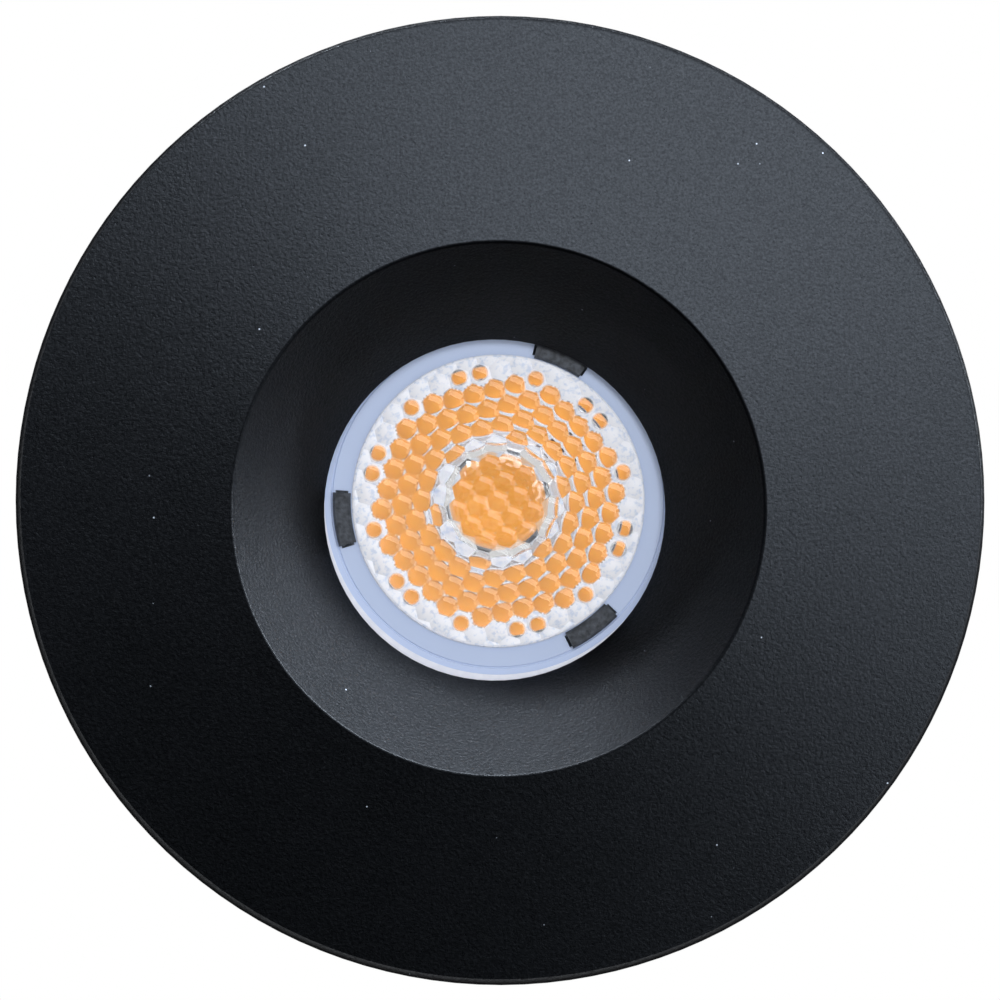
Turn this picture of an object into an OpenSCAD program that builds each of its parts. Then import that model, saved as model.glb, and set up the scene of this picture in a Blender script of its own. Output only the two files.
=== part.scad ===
// Recessed downlight with a black anti-glare bezel, a honeycomb lens over an LED, a finned heat sink
// and two sprung clips. Millimetres. +Z points up into the ceiling and the light leaves along -Z.
// The origin is on the lamp's axis, in the plane where the fitting meets the ceiling.

/* [Bezel] */
// Diameter of the bezel's flange
bezel_d = 90; // [88:0.5:96]
// Diameter of the recess at its mouth
mouth_d = 49.2; // [49:0.2:51]
// How far the mouth stands below the ceiling
mouth_drop = 5.6; // [5.2:0.1:6.4]
// Height of the flange's outer edge
edge_h = 2.2; // [1.8:0.1:2.6]
// Diameter of the opening that the lens shows through
window_d = 32.2; // [31.6:0.1:32.4]
// Diameter of the neck that goes through the ceiling's cut-out
neck_d = 66; // [65.6:0.2:66.4]
// Height of the neck above the ceiling plane
neck_h = 9; // [8:0.5:9]

/* [Lens] */
// Distance between neighbouring pillows of the honeycomb
pillow_pitch = 1.98; // [1.9:0.02:2.1]
// Direction of a row of pillows, in degrees
pillow_turn = 47; // [0:1:59]
// Radius of the sphere that crowns each pillow
pillow_r = 2.6; // [1.6:0.1:3]
// Radius of the area that whole pillows fill
pillow_area_r = 12.75; // [10:0.05:12.8]
// Direction of the first of the three hooks, in degrees
hook_turn = 53.5; // [50:0.5:57]

/* [Heat sink] */
// Number of fins
fin_count = 20; // [16:2:24]
// Radius of the fins
fin_r = 28.8; // [28:0.2:29.4]
// Height of the fins' tips above the ceiling plane
sink_top = 50; // [48:1:60]

/* [Clips] */
// Angle of a resting arm below the horizontal
rest_angle = 34; // [30:1:36]
// Length of an arm from its pin to the end of its pad
arm_l = 18.6; // [17.5:0.1:19]
// Full curls of each torsion spring
spring_curls = 5; // [4:1:5]
// Diameter of the spring's wire
wire_d = 0.8; // [0.6:0.1:0.8]

/* [Hidden] */
$fn = 96;

// Cuts reach this far past the face that they open
over = 0.5;

// Bezel: radii and heights of its section
bezel_r = bezel_d / 2;
mouth_r = mouth_d / 2;
window_r = window_d / 2;
neck_r = neck_d / 2;
neck_wall = 1.8;
face_t = 1.8;
edge_break = 0.35;
// The recess stands off the bezel's centre, so the lens's flange shows more on one side
recess_shift = [-0.35, 0.85];
recess_wall = 2.6;
recess_top = 6.6;
lip_top = 7;
seat_r = 18.4;
sink_z = 9;
shoulder_r = 22;
shoulder_h = 2.5;
gasket_t = 1;
gasket_inner = 35.3;
gasket_outer = bezel_r - 1.3;
rim_drop = 0.3;
rim_w = 1;
relief_w = 2;
relief_z = -1.6;
boss_r = 2.9;
boss_at = 27.2;
boss_turns = [30, 150, 270];
wall_top = 4.5;
rib_t = 1.2;
rib_z = [-3.8, 3];
rib_flat_r = 24;
rib_foot_z = [-3, -0.5];
rib_turns = [15:30:345];

// Screws: thread radius, head radius, head height
m3 = [1.45, 2.75, 2.2];
m25 = [1.05, 2.2, 1.4];
thread_gap = 0.05;
hole_gap = 0.25;
cross_w = 0.7;
cross_depth = 0.9;
sink_screw_l = 10;
led_screw_l = 4.5;

// Optic: heights are measured from the light-emitting face towards the ceiling cut-out
source_z = 20;
lens_index = 1.49;
cavity_r = 4.5;
cavity_h = 5.8;
crown_h = 4;
foot_t = 0.7;
optic_steps = 14;
lens_front = 7.6;
lens_flange_r = 17.6;
lens_flange_t = 1.5;
flank_end = 51.5;
seal_inner = 16.4;
seal_outer = 17.9;
disc_r = 13.85;
disc_proud = 0.35;
valley_proud = 0.4;
pillow_root = 0.4;
hook_half = 9.5;
slot_half = 10.4;
hook_turns = [for (k = [0:2]) hook_turn + 120 * k];
leg_inner = 14.4;
leg_outer = 15.2;
head_inner = 13.95;
head_outer = 15.65;
head_front = 7.15;
head_chamfer = 0.2;
slot_inner = 14.2;
slot_outer = 15.4;
holder_ring_inner = 9.6;
holder_ring_outer = 16.2;
holder_ring_z = 17.6;

// LED and its holder
led_holder_z = 19.6;
board_z = 20.6;
board_t = 0.8;
board_w = 13.5;
pad_t = 0.2;
phosphor_r = 3.9;
phosphor_t = 0.5;
dam_w = 0.5;
dam_t = 0.65;
led_holder_r = 16.4;
led_window_r = 7.2;
led_pocket_w = 13.9;
// A collar stands round the optic's foot: its inner side from the window, and its outer radius
collar = [[led_window_r, 18.4], [8.1, 17.2], [8.5, 16.6]];
collar_r = 9.2;
led_screw_at = 13;
led_screw_turns = [23.5, 203.5];
contact_turns = [135, 315];
contact_w = 1.4;
contact_gap = 0.1;
contact_slot = [6.4, 11];
leaf_t = 0.25;
leaf_z = 20;
leaf_bend = [8, 8.8, 9.6];
port_r = 0.7;
port_x = 6.5;
port_end = 9;

// Heat sink
cup_r = 21.6;
cavity_wall_r = 18.6;
sink_plate_z = board_z + board_t + pad_t;
sink_plate_top = 26;
sink_flange_r = 29.5;
sink_flange_t = 3;
core_r = 9.4;
core_top_r = 7.5;
core_top = sink_top - 2.5;
fin_root_r = 7;
fin_root_t = 1.8;
fin_tip_t = 1.1;
fin_chamfer = [2, 3.5];
fin_dish_r = 12;
pocket_x = 21.2;
pocket_y = 9.5;
pocket_top = 42;
screw_channel_r = 3.2;
spot_depth = 0.3;

// Cable inlet
inlet_y = 14;
inlet_r = 3;
inlet_bore_r = 2.5;
inlet_flange_r = 4.2;
inlet_flange_t = 1.2;
inlet_boot_r = 3.3;
inlet_boot_top = 29.5;
inlet_slot_r = 5.2;
inlet_slot_y = 14.8;
inlet_clear_r = 4.7;

// Clips: the pin's place, then sizes in the arm's own frame, where u runs along the arm
sink_flange_z = sink_z + sink_flange_t;
pin_x = 28;
pin_z = 16.5;
pin_r = 1.2;
eye_r = pin_r + thread_gap;
sheet_t = 1.2;
bracket_in = 21.9;
bracket_out = 29.9;
bracket_y = 7.7;
ear_foot_x = 24.3;
ear_r = 2.8;
ear_t = 1;
stop_h = 0.45;
stop_w = 1;
stop_y = [5.2, 6.4];
pin_head_r = 2;
pin_head_t = 0.9;
pin_end = 9.2;
groove_y = 7.85;
groove_w = 0.7;
groove_r = 0.95;
ring_r = 2.4;
ring_t = 0.6;
ring_gap = 0.02;
bracket_screw_x = 25.3;
bracket_screw_l = 2.9;
csk_r = 2.35;
cheek_y = 6.2;
cheek_t = 0.9;
cheek_eye_r = 2.3;
cheek_low = -1;
cheek_run = [3.2, 7.4];
cheek_end = 9.6;
web_start = 4.4;
web_end = arm_l - 1.2;
web_low = 0.7;
web_t = 0.9;
web_tip_r = 4.2;
bead_r = 0.8;
bead_span = [7, 10.2];
pad_start = 11.2;
pad_low = -0.5;
pad_high = 2.8;
pad_half = 5.2;
grip_start = 12.4;
grip_count = 4;
grip_pitch = 1.5;
grip_r = 0.35;

// Torsion spring
coil_r = 2.5;
coil_half = 3.7;
coil_rings = 8;
wire_sides = 6;
foot_drop = 4.1;
foot_hole_r = 0.5;
leg_reach = 10.4;
leg_gap = 0.03;
leg_w = web_low + web_t + wire_d / 2 + leg_gap;

function unit(v) = v / norm(v);

// The corner b on the way from a to c, rounded to radius r
function rounded(a, b, c, r, n = 5) =
    let (u = unit(a - b), v = unit(c - b), half = acos(u * v) / 2)
    let (mid = b + unit(u + v) * r / sin(half))
    let (p = b + u * r / tan(half) - mid, q = b + v * r / tan(half) - mid)
    let (from = atan2(p.y, p.x), turn = atan2(p.x * q.y - p.y * q.x, p * q))
    [for (i = [0:n]) mid + r * [cos(from + turn * i / n), sin(from + turn * i / n)]];

// An outline from corners of [x, y, corner radius]
function outline(list) = [for (i = [0:len(list) - 1])
    let (n = len(list), a = list[(i + n - 1) % n], b = list[i], c = list[(i + 1) % n])
    each b[2] > 0 ? rounded([a.x, a.y], [b.x, b.y], [c.x, c.y], b[2]) : [[b.x, b.y]]];

// Radius of the recess's cone and height of the flange's lower face
function recess_at(z) = mouth_r - (mouth_r - window_r) * (z + mouth_drop) / (recess_top + mouth_drop);
function face_at(r) = -edge_h - (mouth_drop - edge_h) * (bezel_r - r) / (bezel_r - mouth_r);

module ring(inner, outer, z0, z1) {
    translate([0, 0, z0]) difference() {
        cylinder(r = outer, h = z1 - z0);
        translate([0, 0, -over]) cylinder(r = inner, h = z1 - z0 + 2 * over);
    }
}

// A sector of a ring of the profile given, centred on the direction turn
module sector(profile, turn, half) {
    rotate([0, 0, turn - half]) rotate_extrude(angle = 2 * half) polygon(profile);
}

// A cross recess, cut down into a head whose top is at z = 0
module cross_recess(r) {
    for (a = [0, 90])
        rotate([0, 0, a]) translate([-r, -cross_w / 2, -cross_depth])
            cube([2 * r, cross_w, cross_depth + over]);
}

// A pan-head screw, its head above z = 0 and its shank below
module pan_screw(size, l) {
    head = outline([[0, 0, 0], [size[1], 0, 0], [size[1], size[2], 0.8], [0, size[2], 0]]);
    difference() {
        union() {
            rotate_extrude() polygon(head);
            translate([0, 0, -l]) cylinder(r = size[0], h = l + size[2] / 2);
        }
        translate([0, 0, size[2]]) cross_recess(size[0]);
    }
}

// What is cut away below the flange and inside the recess
module recess_room() {
    deep = -2 * mouth_drop;
    past = bezel_r + 2 * over + norm(recess_shift);
    section = outline([[0, deep, 0], [past, deep, 0], [past, face_at(past), 0],
        [mouth_r, -mouth_drop, 0.3], [window_r, recess_top, 0.15], [window_r, lip_top + over, 0],
        [0, lip_top + over, 0]]);
    translate(recess_shift) rotate_extrude($fn = 180) polygon(section);
}

module bezel() {
    floor_in = recess_at(-mouth_drop + face_t) + recess_wall;
    neck_in = neck_r - neck_wall;
    chamfer_z = edge_break - edge_h;
    low = -mouth_drop - over;
    section = outline([[0, low, 0], [bezel_r + low - chamfer_z, low, 0], [bezel_r, chamfer_z, 0.2],
        [bezel_r, -rim_drop, 0.3], [bezel_r - rim_w, -rim_drop, 0.2],
        [bezel_r - rim_w, -gasket_t, 0], [neck_r + relief_w, -gasket_t, 0],
        [neck_r + relief_w, relief_z, 0], [neck_r, relief_z, 0],
        [neck_r, neck_h, 0.3], [neck_in, neck_h, 0.3], [neck_in, face_at(neck_in) + face_t, 0.6],
        [floor_in, face_at(floor_in) + face_t, 0.6],
        [recess_at(wall_top) + recess_wall, wall_top, 0.5],
        [shoulder_r, sink_z - shoulder_h, 0], [shoulder_r, sink_z, 0.3], [seat_r, sink_z, 0],
        [seat_r, lip_top, 0], [0, lip_top, 0]]);
    rib = [[recess_at(rib_z[0]) + recess_wall / 2, rib_z[0]],
        [recess_at(rib_z[1]) + recess_wall / 2, rib_z[1]], [rib_flat_r, rib_z[1]],
        [neck_r - neck_wall / 2, rib_foot_z[1]], [neck_r - neck_wall / 2, rib_foot_z[0]]];
    color([0.09, 0.095, 0.11]) difference() {
        union() {
            rotate_extrude($fn = 180) polygon(section);
            for (a = rib_turns)
                rotate([0, 0, a]) rotate([90, 0, 0])
                    linear_extrude(rib_t, center = true) polygon(rib);
            for (a = boss_turns)
                rotate([0, 0, a]) translate([boss_at, 0, face_at(boss_at) + face_t / 2])
                    cylinder(r = boss_r, h = sink_z - face_at(boss_at) - face_t / 2);
        }
        recess_room();
        for (a = boss_turns)
            rotate([0, 0, a]) translate([boss_at, 0, sink_z - sink_screw_l])
                cylinder(r = m3[0] + thread_gap, h = sink_screw_l + over);
    }
}

module ceiling_gasket() {
    section = outline([[gasket_inner, -gasket_t, 0], [gasket_outer, -gasket_t, 0],
        [gasket_outer, 0, 0.25], [gasket_inner, 0, 0.25]]);
    color([0.2, 0.2, 0.21]) rotate_extrude($fn = 180) polygon(section);
}

module lens_seal() {
    color([0.75, 0.76, 0.78]) ring(seal_inner, seal_outer, lip_top, lens_front);
}

// The reflecting flank: a ray that leaves the source i degrees above its face and crosses the
// cavity's wall is turned parallel to the axis, because every such path is equally long
function flank(i) =
    let (bent = asin(sin(i) / lens_index), rise = cavity_r * tan(i))
    let (path = cavity_r + lens_index * foot_t - cavity_r / cos(i) + lens_index * rise)
    let (run = path / (lens_index * (1 - sin(bent))))
    [cavity_r + run * cos(bent), source_z - rise - run * sin(bent)];

// The dome over the source, which lies in the cavity's roof
function crown(r) =
    let (sag = cavity_h - crown_h, ball = (cavity_r * cavity_r + sag * sag) / (2 * sag))
    [r, source_z - crown_h - ball + sqrt(ball * ball - r * r)];

// Places of the honeycomb's points, on a triangular grid of half the distance from the centre of a
// pillow to its corner. A pillow's centre lies at m * (4, -2) + n * (2, 2)
grid_step = pillow_pitch / sqrt(3) / 2;
grid_n = 32;
grid_turns = [[1, 0], [0, 1], [-1, 1], [-1, 0], [0, -1], [1, -1]];
cell_n = 8;
function place(g) = grid_step * (g.x * [cos(pillow_turn + 30), sin(pillow_turn + 30)]
    + g.y * [cos(pillow_turn + 90), sin(pillow_turn + 90)]);
function side(k) = grid_turns[k % 6] + grid_turns[(k + 1) % 6];
function inside(g) = norm(place(g)) <= pillow_area_r;
function top_index(g) = (g.x + grid_n) * (2 * grid_n + 1) + g.y + grid_n;
function low_index(g) = top_index(g) + (2 * grid_n + 1) * (2 * grid_n + 1);

// How far a pillow's surface stands out d away from its centre
function crown_out(d) = sqrt(pillow_r * pillow_r - d * d)
    - sqrt(pillow_r * pillow_r - 4 * grid_step * grid_step);

// Distance of a grid point from its own pillow's centre, from its place in the pattern, which
// repeats every 6 steps
function off_centre(g) =
    let (s = (g.x + 2 * g.y + 6 * grid_n) % 6, even = g.x % 2 == 0 && g.y % 2 == 0)
    s == 0 && even ? 0 : even ? 2 * grid_step
    : (s == 3 || s == 0) ? sqrt(3) * grid_step
    : grid_step;

module honeycomb() {
    cells = [for (m = [-cell_n:cell_n], n = [-cell_n:cell_n])
        let (g = m * [4, -2] + n * [2, 2]) if (inside(g)) g];
    span = [-grid_n:grid_n];
    valley = lens_front - valley_proud;
    top = [for (i = span, j = span)
        let (p = place([i, j])) [p.x, p.y, valley - crown_out(off_centre([i, j]))]];
    low = [for (i = span, j = span) let (p = place([i, j])) [p.x, p.y, lens_front + pillow_root]];
    function near(g, k) = top_index(g + grid_turns[k % 6]);
    function corner(g, k) = top_index(g + 2 * grid_turns[k % 6]);
    function edge(g, k) = top_index(g + side(k));
    crowns = [for (g = cells, k = [0:5]) each [
        [top_index(g), near(g, k), near(g, k + 1)],
        [near(g, k), corner(g, k), edge(g, k)],
        [near(g, k), edge(g, k), near(g, k + 1)],
        [near(g, k + 1), edge(g, k), corner(g, k + 1)]]];
    backs = [for (g = cells) [for (k = [5:-1:0]) each
        [low_index(g + side(k)), low_index(g + 2 * grid_turns[k])]]];
    walls = [for (g = cells, k = [0:5]) if (!inside(g + 2 * side(k))) each
        let (a = g + 2 * grid_turns[k], b = g + side(k), c = g + 2 * grid_turns[(k + 1) % 6]) [
        [top_index(a), low_index(a), low_index(b), top_index(b)],
        [top_index(b), low_index(b), low_index(c), top_index(c)]]];
    polyhedron(points = concat(top, low), faces = concat(crowns, backs, walls));
}

module lens() {
    steps = [0:optic_steps];
    body_r = flank(flank_end).x;
    section = concat(
        [[0, lens_front - disc_proud], [disc_r, lens_front - disc_proud], [disc_r, lens_front],
            [lens_flange_r, lens_front], [lens_flange_r, lens_front + lens_flange_t],
            [body_r, lens_front + lens_flange_t]],
        [for (k = steps) flank(flank_end * (1 - k / optic_steps))],
        [[cavity_r, source_z]],
        [for (k = steps) crown(cavity_r * (1 - k / optic_steps))]);
    slot = [[slot_inner, lens_front - over], [slot_outer, lens_front - over],
        [slot_outer, lens_front + lens_flange_t + over],
        [slot_inner, lens_front + lens_flange_t + over]];
    color([0.85, 0.89, 0.95, 0.55]) union() {
        difference() {
            rotate_extrude() polygon(section);
            for (a = hook_turns) sector(slot, a, slot_half);
        }
        honeycomb();
    }
}

module lens_holder() {
    hook = [[leg_inner, holder_ring_z + over], [leg_inner, lens_front],
        [head_inner, lens_front], [head_inner, head_front + head_chamfer],
        [head_inner + head_chamfer, head_front], [head_outer - head_chamfer, head_front],
        [head_outer, head_front + head_chamfer], [head_outer, lens_front],
        [leg_outer, lens_front], [leg_outer, holder_ring_z + over]];
    color([0.07, 0.07, 0.08]) union() {
        difference() {
            ring(holder_ring_inner, holder_ring_outer, holder_ring_z, led_holder_z);
            for (a = led_screw_turns)
                rotate([0, 0, a]) translate([led_screw_at, -m25[1] - hole_gap, holder_ring_z - over])
                    cube([2 * m25[1], 2 * (m25[1] + hole_gap), 2 * holder_ring_z]);
            for (a = led_screw_turns)
                rotate([0, 0, a]) translate([led_screw_at, 0, holder_ring_z - over])
                    cylinder(r = m25[1] + hole_gap, h = holder_ring_z);
            translate([0, inlet_y, holder_ring_z - over])
                cylinder(r = inlet_clear_r, h = holder_ring_z);
        }
        for (a = hook_turns) sector(hook, a, hook_half);
    }
}

module led_holder() {
    low = led_holder_z - over;
    through = sink_plate_z - low + over;
    section = concat([[led_window_r, sink_plate_z]], collar, [[collar_r, collar[2].y],
        [collar_r, led_holder_z], [led_holder_r, led_holder_z], [led_holder_r, sink_plate_z]]);
    color([0.93, 0.93, 0.91]) difference() {
        rotate_extrude() polygon(section);
        translate([-led_pocket_w / 2, -led_pocket_w / 2, board_z])
            cube([led_pocket_w, led_pocket_w, sink_plate_z - board_z + over]);
        translate([0, inlet_y, low]) cylinder(r = inlet_clear_r, h = through);
        for (a = led_screw_turns)
            rotate([0, 0, a]) translate([led_screw_at, 0, low])
                cylinder(r = m25[0] + hole_gap, h = through, $fn = 32);
        for (a = contact_turns)
            rotate([0, 0, a]) translate([contact_slot[0], -contact_w / 2 - contact_gap, low])
                cube([contact_slot[1] - contact_slot[0], contact_w + 2 * contact_gap,
                    board_z - low + contact_gap]);
        for (s = [-1, 1])
            translate([s * port_x, port_end, board_z]) rotate([-90, 0, 0])
                cylinder(r = port_r, h = led_holder_r, $fn = 24);
    }
}

module led_contacts() {
    low = [[contact_slot[1], leaf_z], [leaf_bend[2], leaf_z], [leaf_bend[1], board_z - leaf_t],
        [leaf_bend[0], leaf_z]];
    leaf = concat(low, [for (k = [3:-1:0]) low[k] + [0, leaf_t]]);
    color([0.78, 0.6, 0.35]) for (a = contact_turns)
        rotate([0, 0, a]) rotate([90, 0, 0]) linear_extrude(contact_w, center = true) polygon(leaf);
}

module led_holder_screws() {
    color([0.7, 0.71, 0.72]) for (a = led_screw_turns)
        rotate([0, 0, a]) translate([led_screw_at, 0, led_holder_z]) mirror([0, 0, 1])
            pan_screw(m25, led_screw_l);
}

module led_board() {
    color([0.9, 0.9, 0.88]) translate([-board_w / 2, -board_w / 2, board_z])
        cube([board_w, board_w, board_t]);
}

module led_dam() {
    color([0.95, 0.95, 0.93]) ring(phosphor_r, phosphor_r + dam_w, board_z - dam_t, board_z);
}

module led_phosphor() {
    color([0.97, 0.62, 0.3]) translate([0, 0, board_z - phosphor_t])
        cylinder(r = phosphor_r, h = phosphor_t);
}

module thermal_pad() {
    color([0.35, 0.37, 0.4]) translate([-board_w / 2, -board_w / 2, board_z + board_t])
        cube([board_w, board_w, pad_t]);
}

// One fin, thinner at its tip than at its root. It starts inside the flange
module fin() {
    plan = [[fin_root_r, -fin_root_t / 2], [fin_r + over, -fin_tip_t / 2],
        [fin_r + over, fin_tip_t / 2], [fin_root_r, fin_root_t / 2]];
    translate([0, 0, sink_flange_z - over]) linear_extrude(sink_top - sink_flange_z + 2 * over)
        polygon(plan);
}

module heat_sink() {
    envelope = [[0, sink_z], [fin_r, sink_z],
        [fin_r, sink_top - fin_chamfer[1]], [fin_r - fin_chamfer[0], sink_top],
        [fin_dish_r, sink_top], [core_top_r + 0.5, core_top], [0, core_top]];
    color([0.62, 0.63, 0.65]) difference() {
        union() {
            translate([0, 0, sink_z]) cylinder(r = cup_r, h = sink_plate_top - sink_z);
            translate([0, 0, sink_z]) cylinder(r = sink_flange_r, h = sink_flange_t);
            translate([0, 0, sink_plate_top])
                cylinder(r1 = core_r, r2 = core_top_r, h = core_top - sink_plate_top);
            intersection() {
                rotate_extrude() polygon(envelope);
                for (k = [0:fin_count - 1]) rotate([0, 0, k * 360 / fin_count]) fin();
            }
        }
        translate([0, 0, -over])
            cylinder(r = cavity_wall_r, h = sink_plate_z + over);
        for (a = [0, 180])
            rotate([0, 0, a]) translate([pocket_x, -pocket_y, sink_flange_z])
                cube([fin_r, 2 * pocket_y, pocket_top - sink_flange_z]);
        for (a = [0, 180])
            rotate([0, 0, a]) translate([bracket_screw_x, 0, sink_z - over])
                cylinder(r = m25[0] + thread_gap, h = sink_flange_t + 2 * over, $fn = 32);
        for (a = boss_turns)
            rotate([0, 0, a]) translate([boss_at, 0, 0]) {
                translate([0, 0, sink_z - over])
                    cylinder(r = m3[0] + hole_gap, h = sink_flange_t + 2 * over, $fn = 32);
                translate([0, 0, sink_flange_z - spot_depth])
                    cylinder(r = screw_channel_r, h = sink_top);
            }
        for (a = led_screw_turns)
            rotate([0, 0, a]) translate([led_screw_at, 0, sink_plate_z - over])
                cylinder(r = m25[0] + thread_gap, h = led_screw_l, $fn = 32);
        translate([0, inlet_y, sink_plate_z - over])
            cylinder(r = inlet_r, h = sink_plate_top - sink_plate_z + 2 * over);
        translate([0, inlet_slot_y, sink_plate_top]) {
            cylinder(r = inlet_slot_r, h = sink_top);
            translate([-inlet_slot_r, 0, 0]) cube([2 * inlet_slot_r, fin_r, sink_top]);
        }
    }
}

module heat_sink_screws() {
    color([0.7, 0.71, 0.72]) for (a = boss_turns)
        rotate([0, 0, a]) translate([boss_at, 0, sink_flange_z - spot_depth])
            pan_screw(m3, sink_screw_l);
}

module cable_grommet() {
    z0 = sink_plate_z - inlet_flange_t;
    section = outline([[inlet_bore_r, z0, 0], [inlet_flange_r, z0, 0.4],
        [inlet_flange_r, sink_plate_z, 0], [inlet_r, sink_plate_z, 0],
        [inlet_r, sink_plate_top, 0], [inlet_flange_r, sink_plate_top, 0],
        [inlet_flange_r, sink_plate_top + inlet_flange_t, 0.4],
        [inlet_boot_r, sink_plate_top + inlet_flange_t + 0.4, 0],
        [inlet_boot_r - 0.3, inlet_boot_top, 0.2], [inlet_bore_r, inlet_boot_top, 0]]);
    color([0.1, 0.1, 0.11]) translate([0, inlet_y, 0]) rotate_extrude($fn = 64) polygon(section);
}

// Clip a is at +X, and clip b is the same clip turned half round
module clip_place(s) {
    rotate([0, 0, s == "a" ? 0 : 180]) translate([pin_x, 0, pin_z]) children();
}
module arm_place(s) {
    clip_place(s) rotate([0, rest_angle, 0]) children();
}

// A plate that stands across Y, from y0 to y1, cut to an outline in X and Z
module across(y0, y1) {
    translate([0, y1, 0]) rotate([90, 0, 0]) linear_extrude(y1 - y0) children();
}

module clip_bracket(s) {
    low = sink_flange_z - pin_z;
    ear = [[ear_foot_x - pin_x, low], [bracket_out - pin_x, low], [ear_r, 0], [-ear_r, 0]];
    csk_cut = [[0, -over], [m25[0] + thread_gap, -over], [m25[0] + thread_gap, 0],
        [csk_r + thread_gap, sheet_t], [csk_r + thread_gap, sheet_t + over], [0, sheet_t + over]];
    color([0.72, 0.73, 0.75]) clip_place(s) difference() {
        union() {
            translate([bracket_in - pin_x, -bracket_y, low])
                cube([bracket_out - bracket_in, 2 * bracket_y, sheet_t]);
            for (y = [-bracket_y, bracket_y - ear_t]) across(y, y + ear_t) {
                polygon(ear);
                circle(r = ear_r);
            }
            for (y = [-stop_y[1], stop_y[0]])
                translate([bracket_out - pin_x - stop_w, y, low])
                    cube([stop_w, stop_y[1] - stop_y[0], sheet_t + stop_h]);
        }
        across(-bracket_y - over, bracket_y + over) circle(r = eye_r);
        translate([bracket_screw_x - pin_x, 0, low])
            rotate_extrude($fn = 48) polygon(csk_cut);
        translate([-coil_r, -coil_half, low - over])
            cylinder(r = foot_hole_r, h = sheet_t + 2 * over, $fn = 24);
    }
}

module bracket_screws() {
    color([0.6, 0.61, 0.62]) for (s = ["a", "b"])
        clip_place(s) translate([bracket_screw_x - pin_x, 0, sink_flange_z - pin_z]) difference() {
            union() {
                cylinder(r1 = m25[0], r2 = csk_r, h = sheet_t, $fn = 48);
                translate([0, 0, -bracket_screw_l])
                    cylinder(r = m25[0], h = bracket_screw_l + sheet_t / 2, $fn = 48);
            }
            translate([0, 0, sheet_t]) cross_recess(m25[0]);
        }
}

module clip_pin(s) {
    color([0.78, 0.79, 0.8]) clip_place(s) difference() {
        union() {
            across(-pin_end, bracket_y + pin_head_t / 2) circle(r = pin_r);
            across(bracket_y, bracket_y + pin_head_t) circle(r = pin_head_r);
        }
        across(-groove_y - groove_w, -groove_y) difference() {
            circle(r = pin_r + over);
            circle(r = groove_r);
        }
    }
}

module pin_retaining_rings() {
    gap = [[0, -groove_r], [ring_r + over, -groove_r], [ring_r + over, groove_r], [0, groove_r]];
    color([0.3, 0.3, 0.32]) for (s = ["a", "b"])
        clip_place(s) across(-groove_y - ring_t, -groove_y) difference() {
            circle(r = ring_r);
            circle(r = groove_r + ring_gap);
            polygon(gap);
        }
}

// Plan of the arm's web: wide at the cheeks, then narrowing to a round tip
web_plan = outline([[web_start, -cheek_y, 0], [pad_start - 1.5, -cheek_y, 1],
    [pad_start, -web_tip_r, 0.5], [web_end, -web_tip_r, web_tip_r - 0.1],
    [web_end, web_tip_r, web_tip_r - 0.1], [pad_start, web_tip_r, 0.5],
    [pad_start - 1.5, cheek_y, 1], [web_start, cheek_y, 0]]);

module clip_arm(s) {
    cheek = [[0, -cheek_eye_r + 0.1], [cheek_run[0], cheek_low], [cheek_run[1], cheek_low],
        [cheek_end, web_low], [cheek_end, web_low + web_t], [0, cheek_eye_r - 0.2]];
    color([0.7, 0.71, 0.73]) arm_place(s) difference() {
        union() {
            for (y = [-cheek_y, cheek_y - cheek_t]) across(y, y + cheek_t) {
                polygon(cheek);
                circle(r = cheek_eye_r);
            }
            translate([0, 0, web_low]) linear_extrude(web_t) polygon(web_plan);
            translate([bead_span[0], 0, web_low + web_t - 0.3]) rotate([0, 90, 0])
                cylinder(r = bead_r, h = bead_span[1] - bead_span[0], $fn = 32);
        }
        across(-cheek_y - over, cheek_y + over) circle(r = eye_r);
    }
}

module clip_pad(s) {
    plan = outline([[pad_start, -pad_half, 0.8], [arm_l, -pad_half, pad_half - 0.1],
        [arm_l, pad_half, pad_half - 0.1], [pad_start, pad_half, 0.8]]);
    side = outline([[pad_start, pad_low, 0.5], [arm_l, pad_low, 1.4], [arm_l, pad_high, 1.4],
        [pad_start, pad_high, 0.5]]);
    color([0.16, 0.16, 0.17]) arm_place(s) difference() {
        intersection() {
            translate([0, 0, pad_low]) linear_extrude(pad_high - pad_low) polygon(plan);
            across(-pad_half, pad_half) polygon(side);
        }
        translate([0, 0, web_low]) linear_extrude(web_t) polygon(web_plan);
        for (k = [0:grip_count - 1])
            translate([grip_start + k * grip_pitch, 0, pad_low])
                rotate([90, 0, 0]) cylinder(r = grip_r, h = 2 * pad_half, center = true, $fn = 24);
    }
}

// The wire's centre line, in the pin's frame: up out of the bracket's foot hole, round the pin and
// out along the top of the arm
coil_turn = 180 - (90 - rest_angle) + 360 * spring_curls;
coil_n = ceil(coil_turn / 360 * coil_rings);
function coil_point(t) = let (a = 180 - coil_turn * t)
    [coil_r * cos(a), coil_half * (2 * t - 1), coil_r * sin(a)];
function on_arm(u, w) = [u * cos(rest_angle) + w * sin(rest_angle), coil_half,
    w * cos(rest_angle) - u * sin(rest_angle)];
wire_path = concat(
    [[-coil_r, -coil_half, -foot_drop], [-coil_r, -coil_half, -foot_drop / 2]],
    [for (i = [0:coil_n]) coil_point(i / coil_n)],
    [for (f = [0.25, 0.6, 1]) on_arm(leg_reach * f, coil_r + (leg_w - coil_r) * f)]);

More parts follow.
